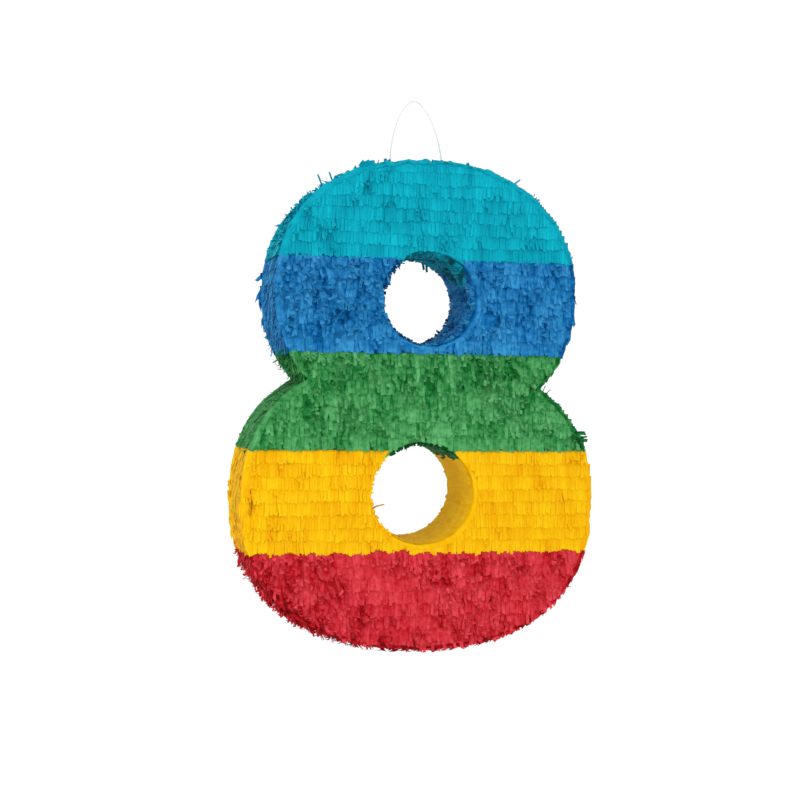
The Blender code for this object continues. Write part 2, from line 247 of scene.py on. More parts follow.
def face_span(x, z):
    """The lowest and highest point of the face in the column through x, z, and whether the lowest is on a
    hole."""
    trim = np.where(x < 0, FACE_TRIM, -FACE_PROUD)
    upper, lower = UPPER.reach(x, trim), LOWER.reach(x, trim)
    joined = UPPER.z - upper < LOWER.z + lower
    above = z > WAIST_Z
    low = np.where(joined | ~above, LOWER.z - lower, UPPER.z - upper)
    high = np.where(joined | above, UPPER.z + upper, LOWER.z + lower)
    over_hole = np.zeros(len(x), bool)
    for hole in (UPPER_HOLE, LOWER_HOLE):
        reach = ringed_reach(hole, x, 1.0)
        over = (z > hole.z) & (reach > 0) & (hole.z + reach > low)
        low = np.where(over, hole.z + reach, low)
        over_hole |= over
        reach = ringed_reach(hole, x, -1.0)
        under = (z <= hole.z) & (reach > 0)
        high = np.where(under, np.minimum(high, hole.z - reach), high)
    return low, high, over_hole


def wear(x, z):
    """How much handling has ruffled the outline: most at the lower left, least at the crown and right."""
    upper, lower = (
        -0.80 * (x - lobe.x) / lobe.a - 0.60 * (z - lobe.z) / lobe.b for lobe in (UPPER, LOWER))
    return np.clip(0.42 + 0.58 * np.where(z > WAIST_Z, upper, lower), 0.06, 1.0)


# ---- random fields and sheets of paper

def smooth_field(rng, wavelength, waves=10):
    """A smooth random field of position, with values of about -1 to 1."""
    heading = unit(rng.normal(size=(waves, 3)))
    number = 2 * pi / (wavelength * rng.uniform(0.7, 2.0, waves))
    phase = rng.uniform(0, 2 * pi, waves)

    def field(points):
        return np.sin(points @ (heading * number[:, None]).T + phase).sum(-1) * sqrt(1.2 / waves)

    return field


# Heights are stretched before a field is read along a row, so that neighbouring rows differ
ROW_APART = np.array((1.0, 1.0, 4.0))


draws = np.random.default_rng(SEED)
TOUSLE_FIELD = smooth_field(draws, 0.026)
TONE_FIELD = smooth_field(draws, 0.020)
LOOSE_TONE_FIELD = smooth_field(draws, 0.011)
SHARED_FIELDS = [smooth_field(draws, 0.020) for _ in range(4)]


def tousle_at(points, band, ruffling):
    """0 smooth to 1 tangled. ruffling adds to the band's own."""
    finish = FINISH[band]
    return np.clip(finish.ruffle + finish.ruffle_spread * TOUSLE_FIELD(points) + ruffling, 0.02, 1.0)


def tone_at(points, rng, tousle):
    """0 deep to 1 pale: patches along the rows, and tab by tab where ruffled."""
    patches = 0.13 * TONE_FIELD(points * ROW_APART) + 0.16 * LOOSE_TONE_FIELD(points)
    return 0.5 + patches + rng.normal(0, 1, len(points)) * (0.04 + 0.11 * tousle)


def together(which, points, rng, tousle):
    """Random values that neighbouring tabs share where the tissue lies smooth."""
    loose = limited(0.22 + 1.3 * tousle)
    return SHARED_FIELDS[which](points * ROW_APART) * (1 - loose) + rng.normal(size=len(points)) * loose


def new_object(name, data):
    thing = bpy.data.objects.new(name, data)
    bpy.context.scene.collection.objects.link(thing)
    return thing


class Sheets:
    """Collects small sheets of paper, each a grid of points, into one mesh."""

    def __init__(self):
        self.parts = []
        self.count = 0

    def add(self, grid, paper):
        """grid: sheets x rows x columns x 3 points. paper: the same shape, (across, along, tone)."""
        index = np.arange(grid[..., 0].size).reshape(grid.shape[:3]) + self.count
        quads = np.stack(
            [index[:, :-1, :-1], index[:, 1:, :-1], index[:, 1:, 1:], index[:, :-1, 1:]], axis=-1)
        self.parts.append((grid.reshape(-1, 3), quads.reshape(-1, 4), paper.reshape(-1, 3)))
        self.count += index.size

    def build(self, node, band, body="pinata"):
        """The piece of tissue that stands for a node."""
        points, quads, paper = (np.concatenate(part) for part in zip(*self.parts))
        mesh = bpy.data.meshes.new(node + "_tissue")
        mesh.vertices.add(len(points))
        mesh.vertices.foreach_set("co", points.astype(np.float32).ravel())
        mesh.loops.add(quads.size)
        mesh.loops.foreach_set("vertex_index", quads.astype(np.int32).ravel())
        mesh.polygons.add(len(quads))
        mesh.polygons.foreach_set("loop_start", np.arange(0, quads.size, 4, dtype=np.int32))
        mesh.update(calc_edges=True)
        attribute = mesh.attributes.new("paper", "FLOAT_VECTOR", "POINT")
        attribute.data.foreach_set("vector", paper.astype(np.float32).ravel())
        mesh.shade_smooth()
        mesh.materials.append(MATERIALS[band])
        piece = new_object(node + "_tissue", mesh)
        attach(piece, body)
        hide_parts(node)


def add_sheet(sheets, corners, tone=SKIN_TONE):
    """One plain sheet, by default in the deep tone of painted shade under the rows. corners: rows x columns x
    3 points.
    """
    grid = np.asarray(corners, float)[None]
    sheets.add(grid, vectors(grid[..., 0] + 0.5 * grid[..., 1], grid[..., 2], tone))


@dataclass
class Tabs:
    """A row of tabs: where each one's slits start, the directions down along the surface and off it, its
    width, and its length above and below the slits. The tilts slant the cut at its tip and its root."""

    slit: np.ndarray
    down: np.ndarray
    out: np.ndarray
    width: np.ndarray
    header: np.ndarray
    free: np.ndarray
    tousle: np.ndarray
    across: np.ndarray
    tip_tilt: np.ndarray = None
    root_tilt: np.ndarray = None

    def __post_init__(self):
        if self.tip_tilt is None:
            self.tip_tilt = np.zeros(len(self.slit))
        if self.root_tilt is None:
            self.root_tilt = np.zeros(len(self.slit))

    def chosen(self, mask):
        return Tabs(*(getattr(self, part.name)[mask] for part in fields(self)))


def hang_tabs(sheets, rng, tabs, tone, lift, layering=LAYERING, stand=STAND):
    """Adds the tabs as small curved sheets. stand: the furthest a tab may stand off its surface."""
    slit, down, out, tousle = tabs.slit, tabs.down, tabs.out, tabs.tousle
    count = len(slit)
    sideways = np.cross(out, down)

    def varied(which, smooth, ruffled):
        return (smooth + ruffled * tousle) * together(which, slit, rng, tousle)

    lean = np.radians(varied(0, 0.8, 16))
    hook = rng.random(count) < 0.62 * tousle ** 1.5
    curl = (1.0 + 19 * tousle) + np.abs(varied(1, 1.0, 16))
    curl = np.radians(np.where(hook, rng.uniform(50, 200, count), curl))
    power = np.where(hook, rng.uniform(1.1, 2.6, count), 1.5)
    twist = np.radians(varied(2, 1.5, 18))
    cup = varied(3, 0.03, 0.12)
    # a tab on a surface that faces down swings out towards the vertical
    swing = np.clip(np.arctan2(-out[:, 2], -down[:, 2]), 0.0, None) * rng.uniform(0.15, 0.55, count)
    swing = np.where(np.abs(down[:, 1]) > 0.5, 0.0, swing) * (0.25 + 0.75 * wear(slit[:, 0], slit[:, 2]))
    slope = layering / (HEADER + FREE_LENGTH)

    centres = [slit - down * tabs.header[:, None] + out * lift, slit + out * (lift + slope * HEADER)]
    tangents = [down, down]
    normals = [out, out]
    step = tabs.free / FREE_STATIONS
    sway = lean
    for station in range(1, FREE_STATIONS + 1):
        share = (station - 0.5) / FREE_STATIONS
        angle = slope + swing * min(1.0, 2 * share) + curl * share ** power
        angle += np.radians(rng.normal(0, 1, count) * (1 + 8 * tousle))
        sway = sway + np.radians(rng.normal(0, 1, count) * (0.5 + 4 * tousle))
        heading = turned(down, sideways, sway)
        tangents.append(turned(heading, out, angle))
        normals.append(turned(out, -heading, angle))
        centres.append(centres[-1] + tangents[-1] * step[:, None])

    grid = np.zeros((count, len(centres), 3, 3))
    paper = np.zeros_like(grid)
    slant = rng.normal(0, 0.0006, count)
    narrowing = rng.uniform(0.03, 0.18 + 0.15 * tousle)
    for row, (centre, tangent, normal) in enumerate(zip(centres, tangents, normals)):
        share = max(0, row - 1) / FREE_STATIONS
        side = turned(np.cross(normal, tangent), normal, twist * share)
        half = tabs.width / 2 * (1 - narrowing * share - 0.02 * (row > 1))
        belly = normal * (cup * tabs.width * sqrt(share))[:, None]
        tilt = slant * share ** 3 + tabs.tip_tilt * share ** 2
        if row < 2:
            short_header = limited(1 - tabs.header / 0.006)
            tilt = tabs.root_tilt * (1.0 if row == 0 else short_header)
        edge = side * half[:, None] + tangent * tilt[:, None]
        grid[:, row] = np.stack([centre - edge, centre + belly, centre + edge], axis=1)
        paper[:, row, :, 0] = tabs.across[:, None] + tabs.width[:, None] * (-0.5, 0.0, 0.5)
        paper[:, row, :, 1] = (-tabs.header if row == 0 else tabs.free * share)[:, None]
        # painted shade: each tab is deeper towards its root, under the row above, and paler towards its tip
        paper[:, row, :, 2] = (tone + PALER_TIP * (share - MID_TONE))[:, None]
    press_down(grid, slit, out, stand)
    sheets.add(grid, paper)


def press_down(grid, slit, out, stand):
    """Eases points back that stand too far off the surface."""
    off = ((grid - slit[:, None, None]) * out[:, None, None]).sum(-1)
    soft = 0.6 * stand
    eased = soft + (stand - soft) * np.tanh((off - soft) / (stand - soft))
    change = np.where(off > soft, eased - off, 0.0)
    grid += change[..., None] * out[:, None, None]


def hang_plies(sheets, rng, tabs, tone, layering=LAYERING, stand=STAND, lift=BASE_LIFT):
    """Hangs a row in plies: a deeper-toned one half a tab along, its depth painted shade under the top ply,
    the top one over it, and torn pieces of a third where the tissue is ruffled."""
    count = len(tabs.slit)
    sideways = np.cross(tabs.out, tabs.down)
    shorter = 1 - np.abs(rng.normal(0, 1, count)) * (0.01 + 0.12 * tabs.tousle)
    under = replace(tabs, slit=tabs.slit + sideways * tabs.width[:, None] / 2, header=np.zeros(count),
                    free=tabs.free * shorter, tousle=tabs.tousle * 0.8, across=tabs.across + 0.013,
                    root_tilt=None)
    # painted shade: the under ply is deeper in tone, more so where ruffled
    hang_tabs(sheets, rng, under, tone - 0.10 - 0.20 * tabs.tousle, lift, layering, stand)
    kept = rng.random(count) > 0.10 * tabs.tousle
    over = tabs.chosen(kept)
    length = over.free * (1 + rng.normal(0, 1, len(over.free)) * (0.040 + 0.18 * over.tousle))
    over.free = np.minimum(length, over.free + 0.0015)
    hang_tabs(sheets, rng, over, tone[kept], lift + PLY_LIFT, layering, stand)
    ragged = rng.random(count) < 1.25 * tabs.tousle - 0.28
    if not ragged.any():
        return
    torn = tabs.chosen(ragged)
    torn = replace(torn, free=torn.free * rng.uniform(0.30, 0.85, len(torn.free)),
                   header=np.minimum(torn.header, 0.002), tousle=np.minimum(1.0, torn.tousle * 1.25),
                   tip_tilt=None, root_tilt=None)
    torn_tone = tone[ragged] + rng.normal(0.04, 0.16, len(torn.free))
    hang_tabs(sheets, rng, torn, torn_tone, lift + 0.0009, layering, stand)


def tab_columns(rng, start, end, ruffle=0.0):
    """Middles and widths of the tabs that fill a length. Ruffled tissue is cut wider."""
    count = max(1, round((end - start) / (TAB_WIDTH * (1 + 0.9 * ruffle))))
    widths = rng.uniform(0.7, 1.3, count)
    widths *= (end - start) / widths.sum()
    return start + np.cumsum(widths) - widths / 2, widths


# ---- fringe on the faces

# Places on the faces that are more ruffled than their surroundings, or smoother: x, z, radius and amount
RUFFLED = (
    (0.19, 0.232, 0.013, 0.9),
    (-0.121, 0.464, 0.016, 0.35),
    (-0.075, 0.514, 0.014, 0.35),
    (-0.06, 0.49, 0.008, 0.3),
    (-0.028, 0.46, 0.009, 0.3),
    (-0.15, 0.125, 0.02, 0.12),
    (-0.01, 0.07, 0.04, -0.22),
    (0.09, 0.19, 0.04, -0.08),
)


def face_ruffling(x, z, band):
    """Extra ruffling of the face fringe: near the worn stretches of the outline and over the worn side."""
    worn = wear(x, z)
    from_edge = [(1 - lobe.radius_share(x, z)) * lobe.b for lobe in (UPPER, LOWER)]
    near_edge = np.exp(-np.maximum(0.0, np.maximum(*from_edge)) / 0.012)
    ruffling = (0.02 + 0.5 * FINISH[band].ruffle) * near_edge * worn + 0.14 * (worn - 0.4)
    ruffling -= 0.9 * FINISH[band].ruffle * near_edge * (1 - worn) ** 2
    for place_x, place_z, radius, amount in RUFFLED:
        ruffling += amount * np.exp(-((x - place_x) ** 2 + (z - place_z) ** 2) / radius ** 2)
    return ruffling


def has_flap(band, facing):
    return facing > 0 and band == "turquoise"


def cut_at_flap(x, tip, root, pitch):
    """Says which tabs turn with the flap, and ends them below its hinge. Those above the hinge stop short
    of it."""
    over = np.abs(x) < FLAP_HIGH[0] + 0.0015
    on_flap = over & (tip < FLAP_TOP - 0.4 * pitch) & (root > FLAP_LOW[2] + 0.002)
    root = np.where(on_flap, np.minimum(root, FLAP_TOP - BELOW_HINGE), root)
    crossing = over & ~on_flap & (root > FLAP_TOP) & (tip < FLAP_TOP + ABOVE_HINGE)
    tip = np.where(crossing, FLAP_TOP + ABOVE_HINGE, tip)
    return on_flap, tip, root


def face_fringe(rng, band, facing):
    """The rows of one band on the front (-1) or back (1) face: the sheets that stay, and those that turn
    with the flap."""
    fixed, moving = Sheets(), Sheets()
    index = BANDS.index(band)
    low_edge = max(BAND_EDGES[index], foot - 0.006)
    high_edge = min(BAND_EDGES[index + 1], crown)
    count = round((high_edge - low_edge) / ROW_PITCH)
    pitch = (high_edge - low_edge) / count
    half_width = lower_half_width if band in ("red", "yellow", "green") else upper_half_width
    for row in range(count):
        on_edge = row == 0 and index > 0
        x, width = tab_columns(rng, -half_width, half_width, FINISH[band].ruffle)
        wander = rng.normal(0, 0.0006) + 0.0008 * np.sin(x * rng.uniform(20, 70) + rng.uniform(0, 6))
        tip = low_edge + pitch * row + ROW_SLOPE * x + wander
        if on_edge:
            tip = edge_height(index, x) + FINISH[band].uneven_cut * SHARED_FIELDS[3](np.outer(x, (2.0, 0, 0)))
        visible_top = tip + 0.9 * pitch
        visible_low = tip + 0.1 * pitch
        top_in = inside(x, visible_top)
        keep = top_in | inside(x, visible_low)
        anchor = np.where(top_in, visible_top, visible_low)[keep]
        x, width, tip = x[keep], width[keep], tip[keep]
        low, high, over_hole = face_span(x, anchor)
        past = np.where(over_hole, 0.0008, 0.0004 + 0.0022 * wear(x, anchor))
        overhang = rng.uniform(0, 1, len(x)) * past
        root = np.minimum(tip + FREE_LENGTH + HEADER, edge_height(index + 1, x) + 0.0008)
        tip_tilt, root_tilt = outline_tilts(x, width, anchor, facing, tip + overhang, root)
        root = np.minimum(root, high)
        tip = np.maximum(tip, low - overhang)
        on_flap = np.zeros(len(x), bool)
        if has_flap(band, facing):
            on_flap, tip, root = cut_at_flap(x, tip, root, pitch)
        keep = root - tip > 0.003
        for sheets, chosen in ((fixed, keep & ~on_flap), (moving, keep & on_flap)):
            if chosen.any():
                hang_face_row(sheets, rng, band, facing, row, 0.45 if on_edge else 1.0,
                              *(part[chosen] for part in (x, width, tip, root, tip_tilt, root_tilt)))
    return fixed, moving


def outline_tilts(x, width, anchor, facing, tip, root):
    """How the tips and roots of tabs are cut so that they follow the outline where it crosses them."""
    left_low, left_high, _ = face_span(x - width / 2, anchor)
    right_low, right_high, _ = face_span(x + width / 2, anchor)
    tip_rise = np.maximum(tip, right_low) - np.maximum(tip, left_low)
    root_rise = np.minimum(root, right_high) - np.minimum(root, left_high)
    return [facing / 2 * np.clip(rise, -2.5 * width, 2.5 * width) for rise in (tip_rise, root_rise)]


def hang_face_row(sheets, rng, band, facing, row, calm, x, width, tip, root, tip_tilt, root_tilt):
    count = len(x)
    free = np.minimum(FREE_LENGTH, root - tip)
    slit = vectors(x, facing * (PANEL_FACE + 0.0006), tip + free)
    down = np.tile((0.0, 0.0, -1.0), (count, 1))
    out = np.tile((0.0, float(facing), 0.0), (count, 1))
    tousle = tousle_at(slit, band, face_ruffling(x, tip + free, band)) * calm
    tousle = limited(tousle + rng.normal(0, 0.05, count))
    tone = tone_at(slit, rng, tousle) + rng.normal(0, 0.05)
    tabs = Tabs(slit, down, out, width, root - tip - free, free, tousle, x + 0.37 * row, tip_tilt, root_tilt)
    hang_plies(sheets, rng, tabs, tone)


def face_skin(sheets, band, facing):
    """The pasted tissue under the rows of one band: plain strips from edge to edge, left open at the flap."""
    index = BANDS.index(band)
    inset, lip = 0.0022, 0.004
    for lobe, hole, lowest, highest in (
            (LOWER, LOWER_HOLE, -1.0, WAIST_Z), (UPPER, UPPER_HOLE, WAIST_Z, 2.0)):
        x = (lobe.a - inset) * np.sin(np.linspace(-pi / 2, pi / 2, 120))
        if has_flap(band, facing):
            x = np.unique(np.concatenate([x, [FLAP_LOW[0], FLAP_HIGH[0]]]))
        half = lobe.reach(x, inset)
        gap = hole.reach(x, -lip)
        low = np.maximum(np.maximum(lowest, edge_height(index, x)), lobe.z - half)
        high = np.minimum(np.minimum(highest, edge_height(index + 1, x)), lobe.z + half)
        skin_strips(sheets, band, facing, x, low, np.minimum(high, hole.z - gap))
        skin_strips(sheets, band, facing, x, np.maximum(low, hole.z + gap), high)


def skin_strips(sheets, band, facing, x, low, high):
    """Strips between two heights at each x, with the flap's opening left free."""
    for left in range(len(x) - 1):
        pair = [left, left + 1]
        spans = [(low[pair], high[pair])]
        if has_flap(band, facing) and abs(x[pair].mean()) < FLAP_HIGH[0]:
            spans = [(low[pair], np.minimum(high[pair], FLAP_LOW[2])),
                     (np.maximum(low[pair], FLAP_TOP), high[pair])]
        for bottom, top in spans:
            if np.any(top - bottom > 1e-5):
                add_skin(sheets, x[pair], facing, np.maximum(top, bottom), bottom)


def add_skin(sheets, x, facing, top, bottom):
    y = facing * (PANEL_FACE + SKIN_LIFT)
    add_sheet(sheets, [vectors(x, y, z) for z in (top, bottom)])


def build_faces():
    for facing, face in ((-1, "front"), (1, "back")):
        for band in BANDS:
            rng = np.random.default_rng([SEED, BANDS.index(band), facing + 1])
            fixed, moving = face_fringe(rng, band, facing)
            face_skin(fixed, band, facing)
            fixed.build(f"{face}_fringe_{band}", band)
            if moving.count:
                add_skin(moving, np.array((FLAP_LOW[0], FLAP_HIGH[0])), facing, FLAP_TOP, FLAP_LOW[2])
                moving.build("flap_fringe", band, "flap")


# ---- fringe round the edge

SIDE_INSET = 0.0036
SIDE_PROUD = 0.0024

# How far each row round the edge stands off the one under it
SIDE_LAYERING = {"turquoise": 0.0005, "blue": 0.0011, "green": 0.0010, "yellow": 0.0006, "red": 0.0012}

# The strip folded over the corner, from the side round to the face: how far each point lies out from the
# side, how far past the panel's face, and how much of the strip's reach onto the face it takes in
FOLD = np.array((
    (0.0006, -0.011, 0.0), (0.0016, -0.007, 0.0), (0.0026, -0.003, 0.0), (0.0034, -0.0004, 0.0),
    (0.0036, 0.001, 0.0), (0.0028, 0.0024, 0.0), (0.0014, 0.0031, 0.0), (0.0, 0.0033, 0.0),
    (0.0, 0.003, 0.55), (0.0, 0.0018, 1.0),
))
# Tone of the fold where it shows only as an edge: deeper than the middle tone of 0.5, as painted shade
FOLD_SHADE_TONE = {"turquoise": 0.35, "yellow": 0.35, "red": -0.30, "green": -0.10, "blue": -0.10}


def side_proud(nx, nz):
    """How much further out the tissue round the edge stands at the right and the upper left."""
    upper_left = limited(-nx) * limited(1.5 * nz)
    return SIDE_PROUD * (limited(nx + 0.3) + upper_left)


class EdgePath:
    """The line down one side of one lobe, measured from its top end, with what lies off it."""

    def __init__(self, lobe, start, end, mirror):
        angle = np.linspace(start, end, 1500)
        x, z, nx, nz = lobe.point(angle, SIDE_INSET)
        proud = side_proud(nx * mirror, nz)
        x, z = x + nx * proud, z + nz * proud
        self.mirror = mirror
        self.x, self.nx = x * mirror, nx * mirror
        self.z, self.nz = z, nz
        self.s = np.concatenate([[0.0], np.cumsum(np.hypot(np.diff(x), np.diff(z)))])
        top = np.argmin(np.abs(angle - pi / 2))
        self.s -= self.s[top] if start > pi / 2 else 0.0

    def at(self, s):
        x, z, nx, nz = (np.interp(s, self.s, values) for values in (self.x, self.z, self.nx, self.nz))
        size = np.hypot(nx, nz)
        return x, z, nx / size, nz / size

    def where(self, level):
        """How far down the path a row height is passed."""
        falling = np.minimum.accumulate(self.z - ROW_SLOPE * self.x)
        return float(np.interp(-level, -falling, self.s))


def edge_paths():
    """Both sides of both lobes."""
    angles = np.linspace(-pi / 2, pi / 2, 4000)
    upper_end, lower_start = (
        angles[np.argmin(np.abs(lobe.point(angles, SIDE_INSET)[1] - WAIST_Z))] for lobe in (UPPER, LOWER))
    for mirror in (-1, 1):
        yield EdgePath(UPPER, pi / 2 + 0.3, upper_end, mirror)
        yield EdgePath(LOWER, lower_start, -pi / 2 - 0.12, mirror)


def side_fringe(rng, sheets, path, band):
    """The rows of one band along one path. Rows run from the front face to the back."""
    index = BANDS.index(band)
    start = path.where(min(BAND_EDGES[index + 1], 1.0))
    end = path.where(max(BAND_EDGES[index], -0.5))
    if end - start < 0.004:
        return
    start = max(start, 0.0)
    rows = max(1, round((end - start) / ROW_PITCH))
    pitch = (end - start) / rows
    half_depth = PANEL_FACE + 0.0012
    highest = path.s[0] if band == "turquoise" else max(path.s[0], start - 0.0008)
    add_side_skin(sheets, path, start - 0.003, end + 0.002)
    for facing in (-1, 1):
        add_fold(rng, sheets, path, band, start - 0.001, end + 0.001, facing)
    for row in range(rows):
        y, width = tab_columns(rng, -half_depth, half_depth)
        count = len(y)
        tip = end - row * pitch + rng.normal(0, 0.0006) + rng.normal(0, 0.0003, count)
        slit_at = np.maximum(tip - FREE_LENGTH, highest)
        header = np.clip(slit_at - highest, 0.0, HEADER)
        x, z, nx, nz = path.at(slit_at)
        slit = vectors(x, y, z)
        worn = wear(*path.at(tip)[:2])
        near_corner = np.exp(-(half_depth - np.abs(y)) / 0.012)
        underside = limited(-nz)
        ruffling = 0.04 - 0.80 * FINISH[band].ruffle
        ruffling = ruffling + worn * (0.06 + 0.12 * near_corner + 0.70 * underside ** 1.5)
        tousle = tousle_at(slit, band, ruffling)
        tousle = limited(tousle + rng.normal(0, 0.04, count))
        # Painted light and shade: the edge is paler where it faces up, the turquoise paler still, and deeper
        # on its undersides, the red most
        tone = tone_at(slit, rng, tousle) + 0.12 * (1 - underside)
        tone += 0.15 if band == "turquoise" else 0.0
        tone -= (0.55 if band == "red" else 0.20) * limited(1.8 * underside)
        tabs = Tabs(slit, path.mirror * vectors(nz, 0.0, -nx), vectors(nx, 0.0, nz), width, header,
                    tip - slit_at, tousle, y + 0.37 * row)
        leftward = limited(-1.6 * nx.mean())
        loose = 0.4 if band == "green" else 1.0
        stand = 0.0060 + 0.0075 * loose * leftward * min(1.0, 2 * underside.mean())
        hang_plies(sheets, rng, tabs, tone, SIDE_LAYERING[band], stand)


def add_side_skin(sheets, path, start, end):
    """The pasted tissue under the rows, bent round the edge."""
    s = np.linspace(start, end, max(3, int((end - start) / 0.004)))
    x, z, _, _ = path.at(s)
    depth = PANEL_FACE + 0.0003
    add_sheet(sheets, vectors(x[:, None], (-depth, depth), z[:, None]))


def add_fold(rng, sheets, path, band, start, end, facing):
    """The strip folded over the corner between the side and a face. It reaches well onto the face at the left
    and elsewhere shows only as an edge darkened with painted shade."""
    s = np.linspace(start, end, max(3, int((end - start) / 0.0022)))
    x, z, nx, nz = path.at(s)
    shown = limited(-nx) if band != "red" else np.zeros(len(s))
    reach = (0.0012 + 0.0050 * shown) * (1 + 0.20 * smooth_field(rng, 0.010)(vectors(x, z, z)))
    offset = FOLD[:, 0] - reach[:, None] * FOLD[:, 2]
    depth = PANEL_FACE + FOLD[:, 1]
    place = vectors(x[:, None] + nx[:, None] * offset, facing * depth, z[:, None] + nz[:, None] * offset)
    crumple = 0.00045 * smooth_field(rng, 0.006)(place) + 0.0003 * smooth_field(rng, 0.014)(place)
    crumple *= np.linspace(0.3, 1.0, len(depth)) * (1.4 - shown)[:, None]
    crumple *= 1 + 1.2 * limited(nz)[:, None]
    place += crumple[..., None] * vectors(nx, 0.5 * facing, nz)[:, None]
    tone = (0.48 * shown + FOLD_SHADE_TONE[band] * (1 - shown))[:, None] + 0.12 * smooth_field(rng, 0.012)(place)
    sheets.add(place[None], vectors(depth + offset, s[:, None], tone)[None])


def build_sides():
    pieces = {}
    for number, path in enumerate(edge_paths()):
        for band in BANDS:
            rng = np.random.default_rng([SEED, 20 + number, BANDS.index(band)])
            whole = band in ("turquoise", "red")
            node = f"side_fringe_{band}" + ("" if whole else "_left" if path.mirror < 0 else "_right")
            side_fringe(rng, pieces.setdefault(node, Sheets()), path, band)
    for node, sheets in pieces.items():
        add_loose_ends(sheets, node)
        sheets.build(node, node.split("_")[2])


# ---- loose ends

@dataclass
class Stray:
    """A loose piece of tissue: where it starts, which way it points in X and Z, its length, width, ruffle
    and tone."""

    x: float
    y: float
    z: float
    aim_x: float
    aim_z: float
    length: float
    width: float
    ruffle: float = 0.30
    tone: float = 0.10


# Loose pieces that stand off the outline or into the holes, by the fringe they belong to
STRAYS = {
    "side_fringe_turquoise": (
        Stray(-0.1235, -0.05, 0.509, -0.55, 1.0, 0.0145, 0.0026, tone=-0.15),
        Stray(-0.111, -0.05, 0.5135, -0.7, 1.0, 0.0135, 0.0026, tone=-0.15),
        Stray(-0.108, -0.05, 0.5215, 0.9, 0.6, 0.009, 0.0026),
        Stray(0.0935, -0.05, 0.524, 0.7, 1.0, 0.013, 0.0024),
        Stray(0.115, -0.05, 0.509, 1.0, 0.35, 0.0125, 0.0024),
        Stray(-0.082, -0.053, 0.535, 0.4, 1.0, 0.006, 0.006, 0.15),
        Stray(-0.079, -0.053, 0.536, 0.9, 0.8, 0.008, 0.006, 0.15),
        Stray(-0.075, -0.053, 0.5375, 1.00, 0.5, 0.009, 0.006, 0.15),
    ),
    "side_fringe_green_right": (
        Stray(0.14, -0.05, 0.2925, 0.1, 1.0, 0.0085, 0.0014, tone=-0.25),
        Stray(0.145, -0.05, 0.29, 0.15, 1.0, 0.0115, 0.0014, tone=-0.25),
        Stray(0.181, -0.054, 0.247, 1.0, 0.1, 0.011, 0.005, 0.6, -0.3),
        Stray(0.182, -0.056, 0.24, 0.9, -0.2, 0.012, 0.005, 0.8, -0.35),
        Stray(0.176, -0.057, 0.244, 0.9, -0.6, 0.01, 0.005, 0.8, -0.35),
        Stray(0.185, -0.054, 0.236, 0.8, -0.5, 0.009, 0.005, 0.7, -0.35),
        Stray(0.187, -0.05, 0.242, 1.0, 0.3, 0.009, 0.003, 0.7, -0.25),
    ),
    "upper_hole_lining_turquoise": (
        Stray(0.019, 0.052, 0.4445, 0.15, -1.0, 0.012, 0.0036, tone=-0.3),
        Stray(0.0235, 0.052, 0.4435, -0.1, -1.0, 0.0135, 0.003, tone=-0.2),
    ),
    "lower_hole_lining_yellow": (
        Stray(-0.0535, -0.05, 0.156, 1.0, 0.85, 0.015, 0.0024, 0.12, -0.3),
    ),
}

# Stretches of the outline with curled ends: lobe, first and last angle, number and greatest length
CURLS = {
    "side_fringe_turquoise": (
        (UPPER, 62, 108, 130, 0.01),
        (UPPER, 108, 164, 180, 0.0115),
        (UPPER, 20, 62, 100, 0.01),
    ),
    "side_fringe_blue_left": ((UPPER, 168, 190, 20, 0.0036), (UPPER, 190, 202, 18, 0.006)),
    "side_fringe_green_right": ((LOWER, 23, 31, 46, 0.014),),
    "side_fringe_green_left": ((UPPER, 205, 213, 34, 0.015), (LOWER, 135, 165, 40, 0.0065)),
    "side_fringe_yellow_left": ((LOWER, 165, 200, 24, 0.0035),),
    "side_fringe_red": (
        (LOWER, -156, -120, 120, 0.0155),
        (LOWER, -120, -105, 35, 0.009),
        (LOWER, -100, -25, 50, 0.0085),
    ),
}

# Stretches of the rims of the holes where the fringe hangs into the opening: hole, first and last angle,
# number, greatest length, place along Y and tone. The deep tones are painted shade on ends that hang in
# the shadow of the opening.
FRONT_RIM = -0.0535
BACK_RIM = 0.0535
RIM_TUFTS = {
    "upper_hole_lining_turquoise": ((UPPER_HOLE, 98, 136, 20, 0.0065, FRONT_RIM, -0.3),),
    "upper_hole_lining_blue": (
        (UPPER_HOLE, 134, 176, 26, 0.0062, FRONT_RIM, -0.35),
        (UPPER_HOLE, -72, -18, 26, 0.0065, BACK_RIM, -0.15),
        (UPPER_HOLE, 178, 262, 26, 0.0022, FRONT_RIM, -0.35),
    ),
    "lower_hole_lining_green": ((LOWER_HOLE, 56, 134, 46, 0.0042, FRONT_RIM, -0.55),),
    "lower_hole_lining_yellow": (
        (LOWER_HOLE, 140, 235, 34, 0.003, FRONT_RIM, 0.7),
        (LOWER_HOLE, -62, 30, 30, 0.003, BACK_RIM, 0.5),
    ),
}


def add_stray(sheets, rng, stray):
    heading = unit(np.array((stray.aim_x, 0.0, stray.aim_z)))
    out = np.array((0.35 * heading[2], -0.94, -0.35 * heading[0]))
    out = (out - heading * (out @ heading)) / np.linalg.norm(out)
    slit = (stray.x, stray.y, stray.z)
    values = (slit, heading, out, stray.width, 0.002, stray.length, stray.ruffle, 0.0)
    tabs = Tabs(*(np.array([value]) for value in values))
    hang_tabs(sheets, rng, tabs, np.array([stray.tone]), 0.0, stand=0.02)


def add_ends(sheets, rng, slit, down, out, widths, header, shortest, longest, tousles, tones, stand):
    """Single ends of tissue, their widths, lengths, ruffling and tones drawn from the ranges given."""
    count = len(slit)
    tabs = Tabs(slit, down, out, rng.uniform(*widths, count), np.full(count, header),
                rng.uniform(shortest, 1.0, count) * longest, rng.uniform(*tousles, count), slit[:, 1])
    hang_tabs(sheets, rng, tabs, rng.normal(*tones, count), 0.0, stand=stand)


